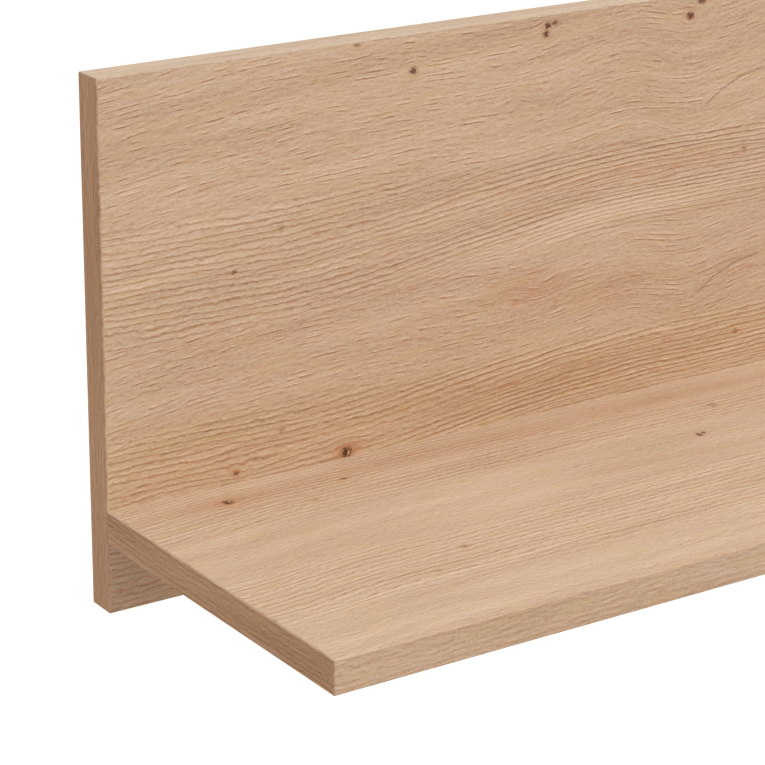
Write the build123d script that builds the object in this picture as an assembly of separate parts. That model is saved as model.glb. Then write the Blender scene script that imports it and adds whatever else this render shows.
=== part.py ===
# Wall shelf: a standing back panel with a shelf board butted to its front face near the bottom.
# Both boards are faced chipboard with plastic bands on their edges.  Cam fittings and dowels join
# them, and two keyhole plates let into the panel's back hang the shelf on a wall.
#
# Millimetres.  The origin is the centre of the panel's back face, which lies on the wall.
# X runs along the length, +Y points into the wall and +Z is up.
import os

from build123d import *

# Overall sizes
length = 1200.0
panel_height = 250.0
shelf_depth = 188.0        # from the panel's front face to the shelf's front edge
shelf_rise = 50.0          # from the panel's bottom edge to the shelf's top face
board_thickness = 16.0

# Edge bands
band_thickness = 1.0
edge_radius = 0.8          # rounding of the bands' outer edges

# What a blind hole leaves of the panel's thickness
blind_floor = 4.0

# Cam fittings, four along the joint
cam_end_inset = 50.0       # from the shelf's end to the outer cams
cam_setback = 34.0         # from the panel's front face to the cam's axis
cam_hole_diameter = 15.0
cam_clearance = 0.1        # radial, between the cam and its hole
cam_top_gap = 0.7          # above the cam, at the bottom of its hole
cam_crown_wall = 0.8       # metal above the cam's cavity
cam_chamfer = 0.4
cam_eccentricity = 0.7     # how far the cavity's centre lies towards the mouth
cam_grip_gap = 0.1         # between the bolt's head and the cavity's nearest wall
cam_cavity_gap = 0.2       # above and below the bolt's head
cam_mouth_gap = 0.4        # round the bolt's head where it enters
cam_neck_gap = 0.25        # round the bolt's neck in its slot
drive_length = 5.4         # cross recess for a screwdriver, in the cam's underside
drive_width = 1.2
drive_depth = 2.5
arrow_size = 1.1           # sunk arrow that points to the mouth
arrow_depth = 0.3

# Cam bolts
bolt_head_radius = 3.3
bolt_neck_radius = 2.0
bolt_shank_radius = 2.9
bolt_collar_radius = 3.6
bolt_collar_length = 1.6
bolt_cone_length = 1.2     # taper from shank to neck
bolt_head_flat = 2.6       # from the head's centre to its flat end
bolt_neck_reach = 0.8      # how far the neck shows outside the cam's hole
bolt_thread_radius = 3.0
bolt_thread_depth = 0.6
bolt_thread_pitch = 1.6
bolt_hole_gap = 0.5        # past the thread's tip
bolt_bore_gap = 0.4        # round the collar, in the shelf's rear edge
thread_clearance = 0.05    # round the crests of every thread

# Dowels, one beside each cam and one in the middle
dowel_diameter = 8.0
dowel_length = 30.0
dowel_cam_spacing = 32.0
dowel_clearance = 0.05     # radial
dowel_end_gap = 1.0        # at each end of a dowel
dowel_chamfer = 0.8
dowel_flutes = 12
dowel_flute_radius = 0.4

# Keyhole hanger plates
hanger_end_inset = 200.0   # from the panel's end to the plate's middle
hanger_drop = 45.0         # from the panel's top edge to the plate's middle
plate_width = 60.0
plate_height = 30.0
plate_thickness = 2.0
plate_corner = 5.0
plate_clearance = 0.1      # round the plate in its recess
keyhole_entry_radius = 5.0
keyhole_entry_drop = 5.0   # the entry's centre below the plate's middle
keyhole_slot_width = 5.5
keyhole_slot_rise = 11.0   # from the entry's centre to the centre of the slot's round end
pocket_width = 20.0
pocket_ledge = 2.0         # panel left under the plate's top and bottom edges
pocket_floor = 5.0         # panel left in front of the pocket
pocket_corner = 4.0

# Hanger screws
screw_inset = 8.0          # from the plate's end to the screw's axis
screw_head_radius = 3.4
screw_radius = 1.75
screw_thread_depth = 0.4
screw_thread_pitch = 1.4
screw_plain_length = 0.6   # between the head's cone and the thread
screw_tip_length = 2.4
screw_clearance = 0.35     # between the screw and the plate's hole
screw_seat_clearance = 0.05
screw_drive_length = 3.4
screw_drive_width = 0.8
screw_drive_depth = 1.2
screw_pilot_gap = 0.4      # past the screw's tip

cut_over = 1.0             # how far a cutting shape runs past a face

# Planes and levels
panel_front = -board_thickness
panel_top = panel_height / 2
panel_bottom = -panel_height / 2
shelf_top = panel_bottom + shelf_rise
shelf_under = shelf_top - board_thickness
shelf_middle = (shelf_top + shelf_under) / 2
shelf_front = panel_front - shelf_depth

# Sizes that follow from the fits
cam_hole_radius = cam_hole_diameter / 2
cam_radius = cam_hole_radius - cam_clearance
cavity_half_height = bolt_head_radius + cam_cavity_gap
cavity_radius = bolt_head_radius + cam_grip_gap + cam_eccentricity
cam_crown = cavity_half_height + cam_crown_wall
bolt_bore_radius = bolt_collar_radius + bolt_bore_gap
bolt_thread_length = board_thickness - blind_floor - bolt_hole_gap
dowel_hole_depth = board_thickness - blind_floor
dowel_in_panel = dowel_hole_depth - dowel_end_gap
dowel_radius = dowel_diameter / 2
pocket_height = plate_height - 2 * pocket_ledge
pocket_depth = board_thickness - pocket_floor
screw_length = board_thickness - blind_floor

# Places along the length
cam_outer = length / 2 - cam_end_inset
cam_places = [-cam_outer, -cam_outer / 3, cam_outer / 3, cam_outer]
dowel_places = [
    -cam_outer + dowel_cam_spacing,
    -cam_outer / 3 + dowel_cam_spacing,
    0.0,
    cam_outer / 3 - dowel_cam_spacing,
    cam_outer - dowel_cam_spacing,
]
hanger_height = panel_top - hanger_drop
hanger_places = {
    "left": -(length / 2 - hanger_end_inset),
    "right": length / 2 - hanger_end_inset,
}
screw_offset = plate_width / 2 - screw_inset


def block(x_range, y_range, z_range):
    """A box between two values on each axis."""
    size = [high - low for low, high in (x_range, y_range, z_range)]
    middle = [(high + low) / 2 for low, high in (x_range, y_range, z_range)]
    return Pos(*middle) * Box(*size)


def rod(radius, low, high):
    """A cylinder about the local Z axis."""
    return Pos(0, 0, (low + high) / 2) * Cylinder(radius, high - low)


def turned(points):
    """A solid of revolution about the local Z axis, from (radius, height) points."""
    outline = [(radius, 0, height) for radius, height in points]
    return revolve(make_face(Polyline(*outline, close=True)), Axis.Z)


def thread_points(crest, depth, pitch, low, high):
    """Outline of a thread drawn as rings, from low to high, that starts and ends at its root."""
    count = round((high - low) / pitch)
    step = (high - low) / count
    points = []
    for ring in range(count):
        start = low + ring * step
        points.append((crest - depth, start))
        points.append((crest, start + step / 2))
    points.append((crest - depth, high))
    return points


def at_joint(x):
    """The place on the panel's front face, level with the shelf's middle: local +Z runs forward."""
    return Location((x, panel_front, shelf_middle), (90, 0, 0))


def at_back(x, z):
    """The place on the panel's back face: local X and Y span the face, local +Z runs forward."""
    return Location((x, 0, z), (90, 0, 0))


def cross_drive(reach, width, depth):
    """The cutting shape of a cross recess, from the local origin along +Z."""
    arm = block((-reach / 2, reach / 2), (-width / 2, width / 2), (-cut_over, depth))
    return arm + Rot(0, 0, 90) * arm


# ---- boards and their bands ----

def panel_envelope():
    """The banded panel's outer shape, rounded along all its edges."""
    whole = block((-length / 2, length / 2), (panel_front, 0), (panel_bottom, panel_top))
    return fillet(whole.edges(), edge_radius)


def shelf_envelope():
    """The banded shelf's outer shape: its rear edges, against the panel, stay sharp."""
    whole = block((-length / 2, length / 2), (shelf_front, panel_front), (shelf_under, shelf_top))
    rear = whole.faces().sort_by(Axis.Y)[-1]
    outer = [edge for edge in whole.edges() if edge not in rear.edges()]
    return fillet(outer, edge_radius)


def hanger_recess(x):
    """The space let into the panel's back for one plate, its pocket and its screws."""
    recess = RectangleRounded(
        plate_width + 2 * plate_clearance,
        plate_height + 2 * plate_clearance,
        plate_corner + plate_clearance,
    )
    pocket = RectangleRounded(pocket_width, pocket_height, pocket_corner)
    space = extrude(recess, plate_thickness) + extrude(pocket, pocket_depth)
    for side in (-1, 1):
        pilot = rod(screw_radius + thread_clearance, 0, screw_length + screw_pilot_gap)
        space += Pos(side * screw_offset, 0, 0) * pilot
    return at_back(x, hanger_height) * space


def make_back_panel():
    panel = block(
        (-length / 2 + band_thickness, length / 2 - band_thickness),
        (panel_front, 0),
        (panel_bottom + band_thickness, panel_top - band_thickness),
    )
    bolt_hole = rod(bolt_thread_radius + thread_clearance, -bolt_thread_length - bolt_hole_gap, cut_over)
    dowel_hole = rod(dowel_radius + dowel_clearance, -dowel_hole_depth, cut_over)
    panel -= [at_joint(x) * bolt_hole for x in cam_places]
    panel -= [at_joint(x) * dowel_hole for x in dowel_places]
    panel -= [hanger_recess(x) for x in hanger_places.values()]
    return panel


def make_panel_bands():
    """Long bands cover the ends of the short ones."""
    outer = panel_envelope()
    across = (panel_front, 0)
    along = (-length / 2, length / 2)
    upright = (panel_bottom + band_thickness, panel_top - band_thickness)
    return {
        "back_panel_band_top": outer & block(along, across, (panel_top - band_thickness, panel_top)),
        "back_panel_band_bottom": outer & block(along, across, (panel_bottom, panel_bottom + band_thickness)),
        "back_panel_band_left": outer & block((-length / 2, -length / 2 + band_thickness), across, upright),
        "back_panel_band_right": outer & block((length / 2 - band_thickness, length / 2), across, upright),
    }


def make_shelf_board():
    board = block(
        (-length / 2 + band_thickness, length / 2 - band_thickness),
        (shelf_front + band_thickness, panel_front),
        (shelf_under, shelf_top),
    )
    bolt_bore = rod(bolt_bore_radius, -cut_over, cam_setback)
    dowel_hole = rod(
        dowel_radius + dowel_clearance,
        -cut_over,
        dowel_length - dowel_in_panel + dowel_end_gap,
    )
    cam_hole = rod(cam_hole_radius, -board_thickness / 2 - cut_over, cam_crown + cam_top_gap)
    board -= [at_joint(x) * bolt_bore for x in cam_places]
    board -= [at_joint(x) * dowel_hole for x in dowel_places]
    board -= [Pos(x, panel_front - cam_setback, shelf_middle) * cam_hole for x in cam_places]
    return board


def make_shelf_bands():
    """The front band covers the ends of the side bands."""
    outer = shelf_envelope()
    upright = (shelf_under, shelf_top)
    along = (-length / 2, length / 2)
    across = (shelf_front + band_thickness, panel_front)
    return {
        "shelf_band_front": outer & block(along, (shelf_front, shelf_front + band_thickness), upright),
        "shelf_band_left": outer & block((-length / 2, -length / 2 + band_thickness), across, upright),
        "shelf_band_right": outer & block((length / 2 - band_thickness, length / 2), across, upright),
    }


# ---- joint between shelf and panel ----

def make_cam():
    """A cam about its own axis, with the bolt's axis at height 0.  It is drawn locked: the mouth
    that lets the bolt's head in points away from the panel, and the slot that the neck passes
    along runs round the -X side."""
    under = -board_thickness / 2
    cam = rod(cam_radius, under, cam_crown)
    cam = chamfer(cam.edges().filter_by(GeomType.CIRCLE), cam_chamfer)
    cavity = Pos(0, -cam_eccentricity, 0) * rod(cavity_radius, -cavity_half_height, cavity_half_height)
    mouth = Rot(90, 0, 0) * rod(bolt_head_radius + cam_mouth_gap, 0, cam_hole_radius)
    neck_half = bolt_neck_radius + cam_neck_gap
    slot = block((-cam_hole_radius, 0), (-cam_hole_radius, cam_hole_radius), (-neck_half, neck_half))
    slot += block((-neck_half, neck_half), (0, cam_hole_radius), (-neck_half, neck_half))
    drive = Pos(0, 0, under) * cross_drive(drive_length, drive_width, drive_depth)
    arrow_tip = -cam_radius + 2 * cam_chamfer
    arrow_base = arrow_tip + arrow_size
    arrow_line = Polyline((0, arrow_tip), (arrow_size, arrow_base), (-arrow_size, arrow_base), close=True)
    arrow = Pos(0, 0, under - cut_over) * extrude(make_face(arrow_line), cut_over + arrow_depth)
    return cam - cavity - mouth - slot - drive - arrow


def make_bolt():
    """A bolt about local Z: its thread is below 0, in the panel, and its head is on the cam's axis."""
    neck_start = cam_setback - cam_hole_radius - bolt_neck_reach
    points = [(0, -bolt_thread_length), (bolt_thread_radius - bolt_thread_depth, -bolt_thread_length)]
    points += thread_points(
        bolt_thread_radius,
        bolt_thread_depth,
        bolt_thread_pitch,
        -bolt_thread_length + bolt_thread_depth,
        0,
    )
    points += [
        (bolt_collar_radius, 0),
        (bolt_collar_radius, bolt_collar_length),
        (bolt_shank_radius, bolt_collar_length),
        (bolt_shank_radius, neck_start - bolt_cone_length),
        (bolt_neck_radius, neck_start),
        (bolt_neck_radius, cam_setback),
        (0, cam_setback),
    ]
    ball = Sphere(bolt_head_radius) & rod(bolt_head_radius, -bolt_head_radius, bolt_head_flat)
    return turned(points) + Pos(0, 0, cam_setback) * ball


def make_dowel():
    """A fluted dowel about local Z: its lower part is in the panel and the rest in the shelf."""
    dowel = rod(dowel_radius, -dowel_in_panel, dowel_length - dowel_in_panel)
    dowel = chamfer(dowel.edges().filter_by(GeomType.CIRCLE), dowel_chamfer)
    flute = rod(dowel_flute_radius, -dowel_length, dowel_length)
    return dowel - [place * flute for place in PolarLocations(dowel_radius, dowel_flutes)]


# ---- hangers ----

def make_hanger_plate():
    """A plate with a keyhole: local +Y is up, and local Z is 0 at the face on the wall."""
    outline = RectangleRounded(plate_width, plate_height, plate_corner)
    entry = Pos(0, -keyhole_entry_drop) * Circle(keyhole_entry_radius)
    slot_middle = -keyhole_entry_drop + keyhole_slot_rise / 2
    slot = Pos(0, slot_middle) * Rectangle(keyhole_slot_width, keyhole_slot_rise)
    slot_end = Pos(0, keyhole_slot_rise - keyhole_entry_drop) * Circle(keyhole_slot_width / 2)
    plate = extrude(outline - entry - slot - slot_end, plate_thickness)
    hole_radius = screw_radius + screw_clearance
    seat_radius = screw_head_radius + screw_seat_clearance
    seat_depth = seat_radius - hole_radius
    hole = turned([
        (0, -cut_over),
        (seat_radius, -cut_over),
        (seat_radius, 0),
        (hole_radius, seat_depth),
        (hole_radius, plate_thickness + cut_over),
        (0, plate_thickness + cut_over),
    ])
    return plate - [Pos(side * screw_offset, 0, 0) * hole for side in (-1, 1)]


def make_hanger_screw():
    """A countersunk screw about local Z, with its head's flat face at 0."""
    root = screw_radius - screw_thread_depth
    head_end = screw_head_radius - root
    tip_start = screw_length - screw_tip_length
    points = [(0, 0), (screw_head_radius, 0), (root, head_end)]
    thread_start = head_end + screw_plain_length
    points += thread_points(screw_radius, screw_thread_depth, screw_thread_pitch, thread_start, tip_start)
    points.append((0, screw_length))
    return turned(points) - cross_drive(screw_drive_length, screw_drive_width, screw_drive_depth)


def make_nodes():
    """Every piece in its place, by node name."""
    nodes = {"back_panel": make_back_panel(), "shelf_board": make_shelf_board()}
    nodes.update(make_panel_bands())
    nodes.update(make_shelf_bands())
    cam = make_cam()
    bolt = make_bolt()
    for number, x in enumerate(cam_places, start=1):
        nodes[f"cam_lock_{number}"] = Pos(x, panel_front - cam_setback, shelf_middle) * cam
        nodes[f"cam_bolt_{number}"] = at_joint(x) * bolt
    dowel = make_dowel()
    for number, x in enumerate(dowel_places, start=1):
        nodes[f"dowel_{number}"] = at_joint(x) * dowel
    plate = make_hanger_plate()
    screw = make_hanger_screw()
    number = 0
    for side, x in hanger_places.items():
        nodes[f"hanger_plate_{side}"] = at_back(x, hanger_height) * plate
        for offset in (-screw_offset, screw_offset):
            number += 1
            nodes[f"hanger_screw_{number}"] = at_back(x + offset, hanger_height) * screw
    return nodes


os.makedirs("parts", exist_ok=True)
for name, shape in make_nodes().items():
    export_step(shape, f"parts/{name}.step")
    print(name, len(shape.solids()), "solid", round(shape.volume, 1), "mm3")
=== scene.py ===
import math

import bpy
from mathutils import Euler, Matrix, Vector


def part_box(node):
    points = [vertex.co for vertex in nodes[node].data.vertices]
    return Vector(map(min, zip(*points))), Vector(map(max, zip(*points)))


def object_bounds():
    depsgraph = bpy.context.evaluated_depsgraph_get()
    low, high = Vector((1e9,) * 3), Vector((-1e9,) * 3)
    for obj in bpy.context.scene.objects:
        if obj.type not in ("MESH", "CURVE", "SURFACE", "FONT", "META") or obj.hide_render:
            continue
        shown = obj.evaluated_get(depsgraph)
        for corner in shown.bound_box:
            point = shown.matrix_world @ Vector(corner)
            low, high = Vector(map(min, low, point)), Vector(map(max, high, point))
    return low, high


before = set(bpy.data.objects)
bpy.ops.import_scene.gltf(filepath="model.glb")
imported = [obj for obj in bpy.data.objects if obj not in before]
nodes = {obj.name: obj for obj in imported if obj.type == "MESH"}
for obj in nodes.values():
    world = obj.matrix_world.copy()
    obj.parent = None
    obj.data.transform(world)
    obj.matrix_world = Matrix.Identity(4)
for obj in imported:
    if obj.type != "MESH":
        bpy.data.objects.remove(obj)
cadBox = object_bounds()
scene = bpy.context.scene
millimetres = 1000            # in a metre
print("frame loaded,", len(nodes), "pieces")


class Wire:
    # a value that varies over a surface, so that a material can be written as a sum
    def __init__(self, tree, socket):
        self.tree = tree
        self.socket = socket

    def __add__(self, other):
        return calc(self.tree, "ADD", self, other)

    def __sub__(self, other):
        return calc(self.tree, "SUBTRACT", self, other)

    def __rsub__(self, other):
        return calc(self.tree, "SUBTRACT", other, self)

    def __mul__(self, other):
        return calc(self.tree, "MULTIPLY", self, other)

    def __truediv__(self, other):
        return calc(self.tree, "DIVIDE", self, other)

    __radd__ = __add__


def plug(tree, value, socket):
    if isinstance(value, Wire):
        tree.links.new(value.socket, socket)
    else:
        socket.default_value = value


def calc(tree, operation, *values):
    node = tree.nodes.new("ShaderNodeMath")
    node.operation = operation
    for socket, value in zip(node.inputs, values):
        plug(tree, value, socket)
    return Wire(tree, node.outputs[0])


def size(wire):
    return calc(wire.tree, "ABSOLUTE", wire)


def wholePart(wire):
    return calc(wire.tree, "FLOOR", wire)


def fraction(wire):
    return calc(wire.tree, "FRACT", wire)


def bell(wire, width):
    # 1 at zero, falling away smoothly on both sides
    return calc(wire.tree, "EXPONENT", wire * wire * (-1 / width ** 2))


def ramp(wire, low, high, start=0.0, end=1.0):
    # start at low, end at high, with a smooth way between
    node = wire.tree.nodes.new("ShaderNodeMapRange")
    node.interpolation_type = "SMOOTHSTEP"
    for socket, value in zip(node.inputs, (wire, low, high, start, end)):
        plug(wire.tree, value, socket)
    return Wire(wire.tree, node.outputs[0])


def vector(tree, x, y, z):
    node = tree.nodes.new("ShaderNodeCombineXYZ")
    for socket, value in zip(node.inputs, (x, y, z)):
        plug(tree, value, socket)
    return Wire(tree, node.outputs[0])


def noise(tree, x, y, z, detail=0.0, roughness=0.5):
    # smooth noise from 0 to 1 with features about one unit across
    node = tree.nodes.new("ShaderNodeTexNoise")
    plug(tree, vector(tree, x, y, z), node.inputs["Vector"])
    node.inputs["Scale"].default_value = 1.0
    node.inputs["Detail"].default_value = detail
    node.inputs["Roughness"].default_value = roughness
    return Wire(tree, node.outputs["Fac"])


def blendColour(tree, amount, first, second):
    node = tree.nodes.new("ShaderNodeMix")
    node.data_type = "RGBA"
    plug(tree, amount, node.inputs["Factor"])
    plug(tree, first, node.inputs["A"])
    plug(tree, second, node.inputs["B"])
    return Wire(tree, node.outputs["Result"])


def shadeColour(tree, amount, tone, tint):
    # tone multiplied by tint, as far as amount says
    mixed = blendColour(tree, amount, tone, colour(tint))
    mixed.socket.node.blend_type = "MULTIPLY"
    return mixed


def farFrom(tree, point, centre, reach):
    # distance from centre, where 1 is the rim of an oval of that reach
    scaled = tree.nodes.new("ShaderNodeVectorMath")
    scaled.operation = "MULTIPLY_ADD"
    plug(tree, point, scaled.inputs[0])
    scaled.inputs[1].default_value = (1 / reach[0], 1 / reach[1], 0.0)
    scaled.inputs[2].default_value = (-centre[0] / reach[0], -centre[1] / reach[1], 0.0)
    length = tree.nodes.new("ShaderNodeVectorMath")
    length.operation = "LENGTH"
    tree.links.new(scaled.outputs["Vector"], length.inputs[0])
    return Wire(tree, length.outputs["Value"])


def place(tree):
    # the point on the piece, in millimetres from the middle of the face on the wall
    coordinates = tree.nodes.new("ShaderNodeTexCoord")
    split = tree.nodes.new("ShaderNodeSeparateXYZ")
    tree.links.new(coordinates.outputs["Object"], split.inputs[0])
    return [Wire(tree, output) * millimetres for output in split.outputs]


def inside(name, axis, wire, skin):
    # 0 on the two faces of a board, 1 deeper than its decor's skin
    low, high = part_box(name)
    middle = (low[axis] + high[axis]) / 2 * millimetres
    half = (high[axis] - low[axis]) / 2 * millimetres
    return ramp(size(wire - middle), half - skin[0], half - skin[1])


def colour(tone, tint=(1.0, 1.0, 1.0)):
    return (tone[0] * tint[0], tone[1] * tint[1], tone[2] * tint[2], 1.0)


def newFinish(name, specular=0.5, metallic=0.0):
    finish = bpy.data.materials.new(name)
    finish.use_nodes = True
    shader = finish.node_tree.nodes["Principled BSDF"]
    shader.inputs["Specular IOR Level"].default_value = specular
    shader.inputs["Metallic"].default_value = metallic
    return finish, finish.node_tree, shader


def connect(tree, shader, tone, roughness, height):
    # height is in millimetres, so the relief has its real depth
    plug(tree, tone, shader.inputs["Base Color"])
    plug(tree, roughness, shader.inputs["Roughness"])
    bump = tree.nodes.new("ShaderNodeBump")
    bump.inputs["Strength"].default_value = 1.0
    bump.inputs["Distance"].default_value = 0.001
    plug(tree, height, bump.inputs["Height"])
    tree.links.new(bump.outputs["Normal"], shader.inputs["Normal"])


def dress(name, finish):
    for slot in nodes[name].material_slots:
        slot.material = finish


# the printed and embossed oak paper on every outside face; lengths in millimetres
oak = {
    "stops": (                # tone of the print, from its darkest lines to its palest
        (0.00, (0.250, 0.135, 0.070)),
        (0.20, (0.430, 0.258, 0.150)),
        (0.50, (0.566, 0.375, 0.240)),
        (0.80, (0.680, 0.477, 0.325)),
        (1.00, (0.745, 0.545, 0.390)),
    ),
    "red": (0.525, 0.240, 0.108),
    "honey": (0.595, 0.405, 0.205),
    "knot": (0.125, 0.040, 0.022),
    "speck": (0.640, 0.450, 0.310),
    "roughness": 0.50,
    "sheen": 0.18,            # how much smoother the pale print is than the dark
    "specular": 0.20,
    # broken lines: how far apart, how long, how many of them show, how wide, how dark, how high
    "ripple": {"pitch": 3.2, "run": 8.0, "fill": 0.70, "reach": 0.72, "print": 0.25, "relief": 0.08},
    "fine": {"pitch": 2.8, "run": 14.0, "fill": 0.74, "reach": 0.64, "print": 0.31, "relief": 0.08},
    "dash": {"pitch": 2.6, "run": 9.0, "fill": 0.45, "reach": 0.50, "print": 0.47, "relief": 0.08},
    "grain": 0.44,            # how strongly the short grain prints, with painted lit and shaded sides of its fibres
    "grainStep": 1.3,         # from the lit side of a fibre to its dark side
    "grainRelief": 0.13,
    "drift": 0.50,            # slow changes of tone
    "crumb": 0.34,            # fine speckle
    "pores": 0.16,            # how dark the short thin pores are
    "poreDepth": 0.02,
    "skin": (0.06, 0.12),     # depth at which the decor begins to give way to chipboard, and has given way
    "layer": 0.4,             # how fast the print changes from one face of a board to the other
    "honeyShare": 0.30,
    "flushRed": 0.36,         # redness of the flushed marks, of the paper between them, and of the lines
    "paperRed": 0.55,
    "lineRed": 0.85,
}

# the print's marks: how long along the grain, how wide across it, and their own layer
marks = {
    "wander": (60, 11, 0.0),
    "wiggle": (3.0, 2.6, 5.0),
    "grain": (7.0, 1.4, 29.0),
    "drift": (110, 9, 31.0),
    "flush": (7, 1.1, 41.0),
    "crumb": (1.3, 0.6, 47.0),
    "honey": (26, 5, 53.0),
    "pores": (2.6, 0.28, 67.0),
}
lineLayers = {"ripple": 11.0, "fine": 17.0, "dash": 23.0}

# from where in its noise a mark begins to show, and shows fully
cuts = {"pores": (0.62, 0.74), "honey": (0.50, 0.70), "flush": (0.60, 0.74)}

# how far wander and wiggle bend the lines; fineCalm is how much of the wiggle the fine lines leave out
bends = {"line": (5.0, 1.6), "dash": (4.0, 0.6), "fineCalm": 1.1}

# across one line, in widths of the line: painted highlights above and below a dark core that is partly
# print, partly painted shade
stroke = {
    "begin": (0.92, 1.16),    # less its fill: from where in the noise a line shows, and shows fully
    "sway": (0.28, 0.44),     # where in its row a line runs, and how far it strays
    "highlightShoulder": (1.35, 0.75),     # how far off the painted highlights beside the line are, and how wide
    # the painted highlight above a line is the brighter one, as if lit from above
    "above": 0.55,
    "below": 0.32,
    # the dark core: partly the printed line, partly painted shade of the lower flank of the ridge above it
    "core": 0.72,
    "ridge": (0.70, 0.80),
    "rowStep": (3.7, 5.3),    # how far apart rows are in the noise, so that no row repeats the next
    "swayLayer": 60.0,
}


def lines(tree, along, across, layer, look):
    # broken lines along the grain: returns their print with its painted highlights and shade, and their
    # relief
    turn = across / look["pitch"]
    row = wholePart(turn)
    begin, full = stroke["begin"]
    showStep, swayStep = stroke["rowStep"]
    show = noise(tree, along / look["run"], row * showStep, layer, detail=1.0)
    show = ramp(show, begin - look["fill"], full - look["fill"])
    least, most = stroke["sway"]
    sway = noise(tree, along / (look["run"] * 2), row * swayStep, layer + stroke["swayLayer"])
    sway = sway * most + least
    offset = (fraction(turn) - sway) * look["pitch"]
    reach = look["reach"]
    away, wide = stroke["highlightShoulder"]
    upper = bell(offset - reach * away, reach * wide) * stroke["above"]
    lower = bell(offset + reach * away, reach * wide) * stroke["below"]
    # painted highlights on both edges of the line, less its dark core of print and painted shade
    shade = (upper + lower - bell(offset, reach * stroke["core"])) * show * look["print"]
    ridge, ridgeWide = stroke["ridge"]
    relief = bell(offset - reach * ridge, reach * ridgeWide) * show * look["relief"]
    return shade, relief


def cloud(tree, along, across, layer, mark, detail=1.0):
    # noise in marks of one kind
    wide, tall, own = marks[mark]
    return noise(tree, along / wide, across / tall, layer + own, detail=detail)


def oakPrint(tree, along, flow, dashFlow, layer, amounts, tone, red, piece):
    # flow and dashFlow are across the grain, bent by the figure; amounts are of ripple, fine and dash lines
    ripple, fine, dash = amounts
    wander = cloud(tree, along, flow, layer, "wander") - 0.5
    wiggle = cloud(tree, along, flow, layer, "wiggle") - 0.5
    bent = flow + wander * bends["line"][0] + wiggle * bends["line"][1]
    dashBent = dashFlow + wander * bends["dash"][0] + wiggle * bends["dash"][1]
    fineBent = bent - wiggle * bends["fineCalm"]
    rippleLook = piece.get("ripple", oak["ripple"])
    rippleShade, rippleRelief = lines(tree, along, bent, layer + lineLayers["ripple"], rippleLook)
    fineShade, fineRelief = lines(tree, along, fineBent, layer + lineLayers["fine"], oak["fine"])
    dashShade, dashRelief = lines(tree, along, dashBent, layer + lineLayers["dash"], oak["dash"])
    grain = cloud(tree, along, dashBent, layer, "grain") - 0.5
    shifted = cloud(tree, along, dashBent + oak["grainStep"], layer, "grain") - 0.5
    drift = cloud(tree, along, dashFlow, layer, "drift") - 0.5
    flush = cloud(tree, along, dashBent, layer, "flush")
    honey = cloud(tree, along, flow, layer, "honey")
    crumb = cloud(tree, along, flow, layer, "crumb", detail=0.0) - 0.5
    pores = ramp(cloud(tree, along, dashBent, layer, "pores", detail=0.0), *cuts["pores"])

    drawn = rippleShade * ripple + fineShade * fine + dashShade * dash
    # the short grain, painted as the lit side of each fibre less its shaded side
    value = tone + drift * oak["drift"] + (grain - shifted) * oak["grain"] + crumb * oak["crumb"]
    value = value + drawn - pores * oak["pores"]
    stops = tree.nodes.new("ShaderNodeValToRGB")
    stops.color_ramp.elements.remove(stops.color_ramp.elements[1])
    stops.color_ramp.elements[0].color = colour(oak["stops"][0][1], piece["tint"])
    for position, shade in oak["stops"][1:]:
        stops.color_ramp.elements.new(position).color = colour(shade, piece["tint"])
    plug(tree, value, stops.inputs[0])
    paper = Wire(tree, stops.outputs[0])
    honeyShare = ramp(honey, *cuts["honey"]) * oak["honeyShare"]
    paper = blendColour(tree, honeyShare, paper, colour(oak["honey"], piece["tint"]))
    redness = ramp(flush, *cuts["flush"]) * (red + oak["flushRed"]) + red * oak["paperRed"]
    redness = redness - drawn * oak["lineRed"]
    paper = blendColour(tree, redness, paper, colour(oak["red"], piece["tint"]))
    height = rippleRelief * ripple + fineRelief * fine + dashRelief * dash - shifted * oak["grainRelief"]
    height = height - pores * oak["poreDepth"]
    roughness = oak["roughness"] - (value - 0.5) * oak["sheen"]
    return paper, roughness, height


# a knot, in its own radii
knotShape = {
    "stretch": 1.2,           # along the grain
    "ragged": 2.2,            # how torn its rim is
    "tear": (1.3, 1.2),       # length and width of the tears in millimetres
    "core": (1.4, 0.4),       # from where the dark core fades in, and where it is full
    "reach": 4.5,             # how far the reddened wood and the bent grain go
    "halo": 1.6,
    "push": 0.7,
    "chip": (0.40, 0.15),     # the pale chip in a dark knot: how far along and how far down
    "chipReach": (0.2, 0.5),
    "chipEdge": (1.3, 0.4),
}


def addKnots(tree, along, across, knots):
    # each knot is (along, across, radius, darkness, redness round it); the grain runs round it
    strength = knotShape["ragged"]
    wide, tall = knotShape["tear"]
    ragged = noise(tree, along / wide, across / tall, 3.0, detail=2.0) * strength - strength / 2
    flat = vector(tree, along, across, 0.0)
    core, speck, halo, push = 0.0, 0.0, 0.0, 0.0
    for start, height, radius, darkness, redness in knots:
        away = farFrom(tree, flat, (start, height), (radius * knotShape["stretch"], radius))
        core = ramp(away + ragged, *knotShape["core"]) * darkness + core
        near = ramp(away, knotShape["reach"], 0.0)
        halo = near * near * (redness * knotShape["halo"]) + halo
        push = (across - height) * near * (knotShape["push"] * darkness) + push
        if darkness == 1.0:
            chip = (start + radius * knotShape["chip"][0], height - radius * knotShape["chip"][1])
            chipReach = [radius * reach for reach in knotShape["chipReach"]]
            away = farFrom(tree, flat, chip, chipReach) + ragged * 0.5
            speck = ramp(away, *knotShape["chipEdge"]) + speck
    return core, speck, halo, push


patchEdge = (1.25, 0.2)      # where a patch begins and is full, in its own reach


def addPatches(tree, along, across, tone, red, patches):
    # each patch is (along, across, reach along, reach across, change of tone, redness)
    flat = vector(tree, along, across, 0.0)
    for start, height, wide, tall, shade, redness in patches:
        near = ramp(farFrom(tree, flat, (start, height), (wide, tall)), *patchEdge)
        tone = near * shade + tone
        red = near * redness + red
    return tone, red


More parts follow.
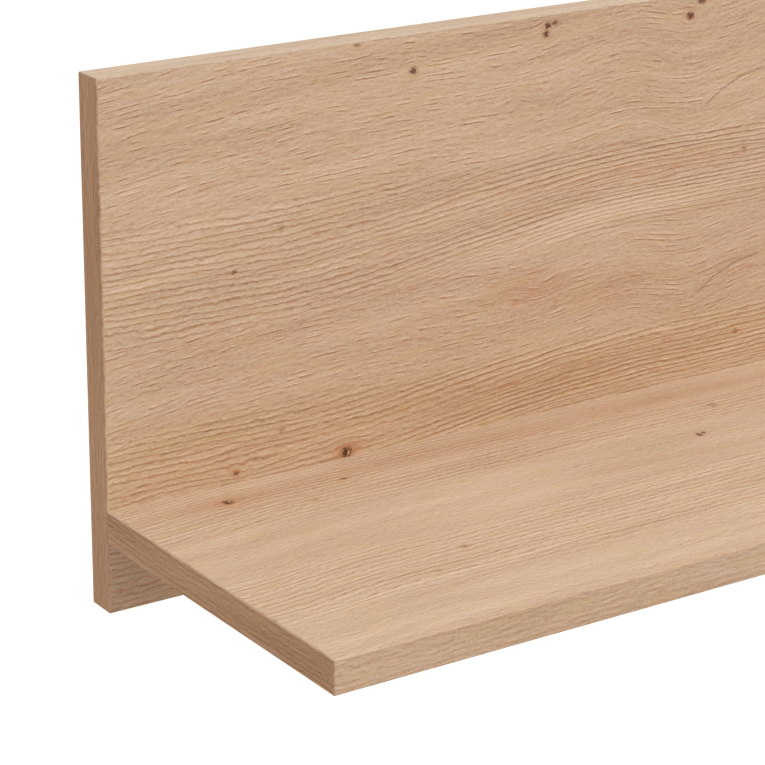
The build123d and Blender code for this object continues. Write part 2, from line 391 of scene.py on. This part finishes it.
panel = {
    "tint": (1.00, 1.03, 1.085),
    "tone": 0.57,
    "warmShadeTint": (1.00, 0.99, 0.92),     # of the strip just above the shelf: partly the print's warmer colour, partly painted warm shade near the shelf
    "warmTop": (92.0, 80.0),
    "warmBottom": (42.0, 50.0),
    "repeat": (27.3, 97.7),   # height of the lowest print repeat, and how far apart the repeats are
    "lastRepeat": 223.0,      # no rippled strip above this height
    "climb": (85.0, 310.0),   # where along the board the lines begin to climb, and where they stop
    "rise": (18.0, 7.0),      # how far they climb, and how much further low and high in the repeat
    "riseLow": (46.0, 2.0),
    "riseHigh": 62.0,
    "dashRise": (200.0, 14.0),          # the short marks climb by 14 over the first 200
    "dashRises": ((215.0, 305.0, 9.0), (290.0, 335.0, -6.0), (325.0, 400.0, 9.0)),   # from, to, climb
    "stripBottom": (-4.0, 3.0),
    "stripFollows": 0.6,      # how much of the rise the strip's lower edge takes part in
    "mix": (0.55, 0.8),       # how much ripple gives way to fine lines, and how many short marks it hides
    "stripTop": (59.0, 53.0),
    "bottomStrip": (40.0, 34.0, 1.2),   # the strip behind and below the shelf: its top, and how strong
    "rightward": (110.0, 240.0),        # between these the broken ripple turns into long fine lines
    # places below are in millimetres from the left end and the bottom edge
    "knots": (
        (165, 232.5, 1.9, 0.9, 0.25), (242, 244.5, 1.6, 0.95, 0.3), (241, 240.5, 1.5, 0.95, 0.3),
        (246, 245.5, 1.3, 0.8, 0.2),
        (329, 239.5, 1.9, 0.95, 0.3), (336, 246.5, 2.2, 0.9, 0.3), (134, 249, 1.6, 0.6, 0.3),
        (68, 152, 1.2, 0.6, 0.2), (93, 169, 1.6, 0.25, 0.1), (368, 167, 1.4, 0.4, 0.3),
        (129, 52.5, 2.6, 1.0, 0.9), (68, 54.5, 1.2, 0.7, 0.45), (93, 71, 1.6, 0.25, 0.2),
        (368, 70, 1.4, 0.4, 0.3),
        (472, 201, 2.1, 0.9, 0.3), (548, 34, 2.6, 1.0, 0.5), (617, 226, 1.6, 0.8, 0.2),
        (703, 128, 1.8, 0.8, 0.3), (780, 238, 2.2, 1.0, 0.3), (861, 66, 1.7, 0.7, 0.3),
        (934, 214, 1.9, 0.9, 0.3), (1019, 150, 1.4, 0.7, 0.2), (1102, 231, 2.1, 0.9, 0.3),
        (1138, 41, 2.4, 0.9, 0.5),
    ),
    "patches": (
        (235, 212, 26, 10, -0.07, 0.06), (235, 115, 34, 11, -0.06, 0.44), (45, 121, 55, 7, -0.03, 0.14),
        (285, 108, 42, 12, -0.01, 0.26), (366, 104, 26, 7, -0.01, 0.30), (300, 166, 90, 6, 0.01, 0.34),
        (290, 65, 190, 17, -0.05, 0.24), (45, 63, 60, 16, 0.00, 0.16), (129, 54, 20, 6, -0.06, 0.30),
        (190, 194, 70, 12, 0.04, -0.06), (235, 141, 80, 10, 0.06, -0.10), (310, 147, 70, 6, 0.16, -0.16),
        (350, 206, 50, 22, 0.08, -0.04), (290, 250, 70, 10, -0.02, 0.12), (50, 14, 110, 22, -0.02, 0.20),
    ),
    "swirls": ((234, 212, 20, 8), (234, 114.5, 20, 8), (610, 196, 20, 8), (900, 107, 22, 9)),
    "swirlEdge": (1.2, 0.1),
    "swirlTurn": 0.30,
    # each crack is (end, length, height in the repeat, climb)
    "cracks": ((379, 39, 67, 15), (668, 44, 78, -12), (931, 38, 70, 14)),
    "crackWidth": 0.5,
    "crackInk": 0.45,
    "crackJitter": (2.5, 3.0),      # length of its steps, and their height
    "crackEnds": ((1.05, 0.9), (-0.05, 0.1)),       # where it fades in and out, in parts of its length
}


def panelOak():
    finish, tree, shader = newFinish("oakPanelDecor", specular=oak["specular"])
    x, y, z = place(tree)
    along = x - cadBox[0].x * millimetres
    up = z - cadBox[0].z * millimetres
    core, speck, halo, push = addKnots(tree, along, up, panel["knots"])
    tone, red = addPatches(tree, along, up, panel["tone"], halo, panel["patches"])

    # the print repeats up the board; in each repeat a rippled strip lies below plain wood
    start, pitch = panel["repeat"]
    top = panel["lastRepeat"]
    past = ramp(up, top - 1, top + 1) * 200       # lifts the rest of the board above every strip
    tile = fraction((up - start) / pitch) * pitch + past
    low = ramp(tile, *panel["riseLow"]) + ramp(tile, panel["riseHigh"], pitch)
    rise = ramp(along, *panel["climb"]) * (low * panel["rise"][1] + panel["rise"][0])
    span, dashClimb = panel["dashRise"]
    lean = calc(tree, "MAXIMUM", calc(tree, "MINIMUM", (span - along) / span, 1.0), 0.0)
    dashRise = (1 - lean * lean) * dashClimb
    for begin, end, climb in panel["dashRises"]:
        dashRise = ramp(along, begin, end) * climb + dashRise
    fadeStart, fadeEnd = panel["stripBottom"]
    edge = rise * panel["stripFollows"]
    band = ramp(tile, edge + fadeStart, edge + fadeEnd) * ramp(tile, *panel["stripTop"])
    bottomTop, bottomFull, bottomStrength = panel["bottomStrip"]
    band = band + ramp(up, bottomTop, bottomFull) * bottomStrength
    right = ramp(along, *panel["rightward"])

    flat = vector(tree, along, up, 0.0)
    for centre, height, wide, tall in panel["swirls"]:
        near = ramp(farFrom(tree, flat, (centre, height), (wide, tall)), *panel["swirlEdge"])
        dashRise = (centre - along) * near * panel["swirlTurn"] + dashRise
    replaced, hidden = panel["mix"]
    amounts = (band * (1 - right * replaced), band * right, 1 - band * hidden)
    flow = up - push
    layer = y * oak["layer"]
    paper, roughness, height = oakPrint(
        tree, along, flow - rise, flow - dashRise, layer, amounts, tone, red, panel)
    # painted warm shade just above the shelf, on top of the print's own warmer colour there
    warm = ramp(up, *panel["warmTop"]) * ramp(up, *panel["warmBottom"])
    paper = shadeColour(tree, warm, paper, panel["warmShadeTint"])
    for end, length, level, climb in panel["cracks"]:
        part = (end - along) / length
        path = (1 - part * part) * climb + level
        step, jump = panel["crackJitter"]
        jitter = noise(tree, along / step, 0.0, level, detail=2.0) * jump - jump / 2
        ends = ramp(part, *panel["crackEnds"][0]) * ramp(part, *panel["crackEnds"][1])
        crack = bell(tile - path + jitter, panel["crackWidth"]) * ends
        paper = blendColour(tree, crack * panel["crackInk"], paper, colour(oak["knot"], panel["tint"]))
    paper = blendColour(tree, core, paper, colour(oak["knot"]))
    paper = blendColour(tree, calc(tree, "MINIMUM", speck, 1.0), paper, colour(oak["speck"]))
    deep = inside("back_panel", 1, y, oak["skin"])
    paper = blendColour(tree, deep, paper, boardCore(tree, x, y, z))
    connect(tree, shader, paper, roughness, height)
    return finish


shelf = {
    # less red than the panel's tint: painted sheen of the light from above on the shelf
    "tint": (0.95, 1.00, 1.06),
    "tone": 0.60,
    "ripple": {"pitch": 3.8, "run": 4.5, "fill": 0.64, "reach": 0.95, "print": 0.19, "relief": 0.15},
    # places below are in millimetres from the left end and the panel's front
    "knots": (
        (52, 19, 2.4, 1.0, 0.5), (112.5, 22.5, 1.4, 0.6, 0.4), (112.5, 120, 1.4, 0.4, 0.4),
        (289.5, 68, 1.3, 0.9, 0.1), (289.5, 66, 1.3, 0.8, 0.1), (293, 66, 1.2, 0.9, 0.1),
        (322, 38, 2.6, 0.35, 0.1),
        (87, 38, 1.4, 0.25, 0.15), (87, 136, 1.4, 0.25, 0.15),
        (447, 141, 1.8, 0.8, 0.3), (569, 58, 1.4, 0.7, 0.2), (688, 163, 2.2, 0.9, 0.4),
        (806, 31, 1.6, 0.8, 0.3), (921, 112, 2.0, 0.9, 0.3), (1066, 74, 1.5, 0.7, 0.2),
    ),
    "patches": (
        (230, 18, 300, 10, -0.09, 0.26), (52, 20, 30, 9, -0.03, 0.25), (226, 81, 30, 7, -0.06, 0.06),
        (200, 26, 420, 34, -0.05, 0.08),
        (120, 168, 200, 20, 0.06, -0.05), (90, 75, 120, 16, 0.03, -0.03), (700, 40, 240, 14, -0.03, 0.2),
        (60, 50, 100, 8, 0.05, -0.06), (250, 85, 60, 12, -0.03, 0.06), (1040, 150, 160, 16, 0.04, 0.0),
    ),
    # each rippled strip across the board: (begins, is full, ends, is full until)
    "ripples": ((24, 32, 54, 48), (96, 104, 154, 146)),
    # beside the panel are more fine lines and short marks: where they end, and are full until
    "nearStrip": (32.0, 22.0),
    "nearEnd": (320.0, 180.0),
    "nearMix": (0.85, 0.5),
    "bend": (75.0, 7.0),                # the lines bend by 7 over the first 75 of the length
    "mix": (0.25, 0.5),                 # fine lines in the rippled strips, and short marks everywhere
}


def shelfOak():
    finish, tree, shader = newFinish("oakShelfDecor", specular=oak["specular"])
    x, y, z = place(tree)
    along = x - cadBox[0].x * millimetres
    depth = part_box("back_panel")[0].y * millimetres - y
    core, speck, halo, push = addKnots(tree, along, depth, shelf["knots"])
    tone, red = addPatches(tree, along, depth, shelf["tone"], halo, shelf["patches"])
    band = 0.0
    for begin, full, end, fade in shelf["ripples"]:
        band = ramp(depth, begin, full) * ramp(depth, end, fade) + band
    bendLength, bend = shelf["bend"]
    flow = depth - push + ramp(along, 0.0, bendLength) * bend
    near = ramp(depth, *shelf["nearStrip"]) * ramp(along, *shelf["nearEnd"])
    fineShare, dashShare = shelf["mix"]
    nearFine, nearDash = shelf["nearMix"]
    amounts = (band, band * fineShare + near * nearFine, near * nearDash + dashShare)
    paper, roughness, height = oakPrint(
        tree, along, flow, flow, z * oak["layer"], amounts, tone, red, shelf)
    paper = blendColour(tree, core, paper, colour(oak["knot"]))
    paper = blendColour(tree, calc(tree, "MINIMUM", speck, 1.0), paper, colour(oak["speck"]))
    deep = inside("shelf_board", 2, z, oak["skin"])
    paper = blendColour(tree, deep, paper, boardCore(tree, x, y, z))
    connect(tree, shader, paper, roughness, height)
    return finish


# grain is the axis that it runs along (0 sideways, 1 deep, 2 upright); lines are ripple, fine and dash
bands = {
    "endTintAndShade": (1.06, 0.89, 0.77),        # the outer face of an end band is a little darker and warmer: partly the band's own colour, partly painted shade
    "endSkin": (0.14, 0.04),              # the tint and painted shade fade in between these depths under that face
    "tone": 0.5,
    "specular": 0.12,
    "layer": 0.04,
    "front": {"grain": 0, "tint": (1.00, 1.04, 1.11), "lines": (0.15, 0.2, 0.3)},
    "top": {"grain": 0, "tint": (0.93, 1.02, 1.11), "lines": (0.1, 0.1, 0.3)},
    "upright": {"grain": 2, "tint": (1.01, 1.04, 1.09), "lines": (0.2, 0.2, 0.4)},
    "deep": {"grain": 1, "tint": (0.99, 1.04, 1.09), "lines": (0.3, 0.6, 0.8)},
}


def bandOak(name, band):
    finish, tree, shader = newFinish(name, specular=bands["specular"])
    point = place(tree)
    end = cadBox[1].x * millimetres
    outer = ramp(size(point[0]), end - bands["endSkin"][0], end - bands["endSkin"][1])
    along = point.pop(band["grain"])
    across = point[0] + point[1]
    layer = point[0] * bands["layer"]
    paper, roughness, height = oakPrint(
        tree, along, across, across, layer, band["lines"], bands["tone"], 0.0, band)
    # the end bands' outer faces made darker and warmer: partly band colour, partly painted shade
    paper = shadeColour(tree, outer, paper, bands["endTintAndShade"])
    connect(tree, shader, paper, roughness, height)
    return finish


chipboard = {
    "pale": (0.600, 0.450, 0.280),
    "brown": (0.330, 0.205, 0.110),
    "chip": 2.4,              # length of a chip in millimetres
    "paleCut": (0.40, 0.60),
}


def boardCore(tree, x, y, z):
    # pressed wood chips, seen inside the holes and pockets
    chip = chipboard["chip"]
    chips = noise(tree, x / chip, y / chip * 2, z / chip, detail=3.0, roughness=0.6)
    pale = ramp(chips, *chipboard["paleCut"])
    return blendColour(tree, pale, colour(chipboard["brown"]), colour(chipboard["pale"]))


dress("back_panel", panelOak())
dress("shelf_board", shelfOak())
dress("shelf_band_front", bandOak("oakBandFront", bands["front"]))
topBand = bandOak("oakBandTop", bands["top"])
sideBand = bandOak("oakBandUpright", bands["upright"])
shelfBand = bandOak("oakBandDeep", bands["deep"])
for side in ("top", "bottom"):
    dress("back_panel_band_" + side, topBand)
for side in ("left", "right"):
    dress("back_panel_band_" + side, sideBand)
    dress("shelf_band_" + side, shelfBand)
print("oak decor done")


# dull is how dark the cloudy marks are, blotch their length in millimetres, drawn their stretch in depth
metals = {
    "cam_lock": {
        "tone": (0.560, 0.560, 0.550), "dull": 0.80, "roughness": 0.44,
        "blotch": 1.6, "drawn": 1.0, "relief": 0.05,
    },
    "cam_bolt": {
        "tone": (0.640, 0.620, 0.570), "dull": 0.80, "roughness": 0.28,
        "blotch": 2.0, "drawn": 4.0, "relief": 0.01,
    },
    "hanger_plate": {
        "tone": (0.600, 0.615, 0.635), "dull": 0.74, "roughness": 0.34,
        "blotch": 5.0, "drawn": 1.0, "relief": 0.02,
    },
    "hanger_screw": {
        "tone": (0.640, 0.600, 0.500), "dull": 0.80, "roughness": 0.30,
        "blotch": 2.0, "drawn": 2.0, "relief": 0.01,
    },
}
tarnish = {"edge": (-0.2, 0.2), "roughness": 0.20}        # how soft its edge, and how much rougher it is


def metalFinish(name, look):
    finish, tree, shader = newFinish(name, metallic=1.0)
    x, y, z = place(tree)
    blotch = look["blotch"]
    mottle = noise(tree, x / blotch, y / (blotch * look["drawn"]), z / blotch, detail=3.0) - 0.5
    dull = colour([part * look["dull"] for part in look["tone"]])
    tone = blendColour(tree, ramp(mottle, *tarnish["edge"]), dull, colour(look["tone"]))
    roughness = look["roughness"] - mottle * tarnish["roughness"]
    connect(tree, shader, tone, roughness, mottle * look["relief"])
    return finish


beech = {
    "pale": (0.640, 0.440, 0.275),
    "fleck": (0.440, 0.255, 0.145),
    "fibre": (0.9, 14.0),     # width and length in millimetres
    "fibreCut": (0.62, 0.38),
    "fibreShare": 0.35,
    "ray": (0.5, 2.2),
    "rayCut": (0.62, 0.72),
    "rayShare": 0.70,
    "roughness": 0.62,
    "relief": 0.06,
}


def beechFinish():
    finish, tree, shader = newFinish("dowelBeech", specular=0.3)
    x, y, z = place(tree)
    wide, long = beech["fibre"]
    grain = noise(tree, x / wide, y / long, z / wide, detail=2.0)
    wide, long = beech["ray"]
    ray = noise(tree, x / wide, y / long, z / wide)
    fleck = colour(beech["fleck"])
    rays = ramp(ray, *beech["rayCut"]) * beech["rayShare"]
    tone = blendColour(tree, rays, colour(beech["pale"]), fleck)
    fibres = ramp(grain, *beech["fibreCut"]) * beech["fibreShare"]
    tone = blendColour(tree, fibres, tone, fleck)
    connect(tree, shader, tone, beech["roughness"], grain * beech["relief"])
    return finish


finishes = {start: metalFinish(start + "_metal", look) for start, look in metals.items()}
finishes["dowel"] = beechFinish()
for name in nodes:
    for start, finish in finishes.items():
        if name.startswith(start):
            dress(name, finish)
print("fittings done")


stage = {
    "floorDrop": 9.0,         # how far below the shelf the floor lies
    "floorSide": 260.0,
    "floorTone": (0.52, 0.49, 0.45),
    "floorGlow": 0.50,        # added where it is looked at, so that it shows white
    "worldLevel": 0.78,
    "worldLean": 0.50,        # how much brighter it is to the right than above, and darker to the left
    "keyLevel": 1.55,
    "keyFrom": (0.10, -0.25, 0.42),
    "keySpread": 40.0,        # degrees, so that its shadows are soft
}

viewpoint = {
    "place": (-1.1753, -1.0899, 0.4166),
    "turn": -34.005,
    "tilt": -19.471,
    "roll": 0.4168,
    "lens": 136.46,
}


def rayKinds(tree):
    # 1 for rays that should see plain white: camera, gloss and glass
    path = tree.nodes.new("ShaderNodeLightPath")
    seen = Wire(tree, path.outputs["Is Camera Ray"])
    gloss = Wire(tree, path.outputs["Is Glossy Ray"])
    glass = Wire(tree, path.outputs["Is Transmission Ray"])
    return calc(tree, "MINIMUM", seen + gloss + glass, 1.0)


def makeWorld():
    world = bpy.data.worlds.new("studio")
    scene.world = world
    world.use_nodes = True
    tree = world.node_tree
    background = tree.nodes["Background"]
    background.inputs["Color"].default_value = (1.0, 1.0, 1.0, 1.0)
    coordinates = tree.nodes.new("ShaderNodeTexCoord")
    split = tree.nodes.new("ShaderNodeSeparateXYZ")
    tree.links.new(coordinates.outputs["Generated"], split.inputs[0])
    lit = Wire(tree, split.outputs["X"]) * stage["worldLean"] + stage["worldLevel"]
    seen = rayKinds(tree)
    plug(tree, lit * (1 - seen) + seen, background.inputs["Strength"])


def makeFloor():
    half = stage["floorSide"] / 2
    height = cadBox[0].z - stage["floorDrop"]
    mesh = bpy.data.meshes.new("floor")
    square = ((-half, -half), (half, -half), (half, half), (-half, half))
    mesh.from_pydata([(x, y, height) for x, y in square], [], [(0, 1, 2, 3)])
    floor = bpy.data.objects.new("floor", mesh)
    scene.collection.objects.link(floor)
    finish, tree, shader = newFinish("floorPaint", specular=0.0)
    shader.inputs["Base Color"].default_value = colour(stage["floorTone"])
    shader.inputs["Roughness"].default_value = 1.0
    shader.inputs["Emission Color"].default_value = (1.0, 1.0, 1.0, 1.0)
    plug(tree, rayKinds(tree) * stage["floorGlow"], shader.inputs["Emission Strength"])
    mesh.materials.append(finish)


def makeKey():
    lamp = bpy.data.lights.new("softKey", "SUN")
    lamp.energy = stage["keyLevel"]
    lamp.angle = math.radians(stage["keySpread"])
    holder = bpy.data.objects.new("softKey", lamp)
    holder.rotation_euler = Vector(stage["keyFrom"]).to_track_quat("Z", "Y").to_euler()
    scene.collection.objects.link(holder)


def makeCamera():
    camera = bpy.data.cameras.new("camera")
    camera.lens = viewpoint["lens"]
    holder = bpy.data.objects.new("camera", camera)
    turned = Euler((0, 0, math.radians(viewpoint["turn"]))).to_matrix()
    tilted = Euler((math.radians(90 + viewpoint["tilt"]), 0, 0)).to_matrix()
    rolled = Euler((0, 0, math.radians(viewpoint["roll"]))).to_matrix()
    holder.matrix_world = (turned @ tilted @ rolled).to_4x4()
    holder.location = viewpoint["place"]
    scene.collection.objects.link(holder)
    scene.camera = holder


makeWorld()
makeFloor()
makeKey()
makeCamera()
scene.view_settings.view_transform = "Standard"
print("stage done")
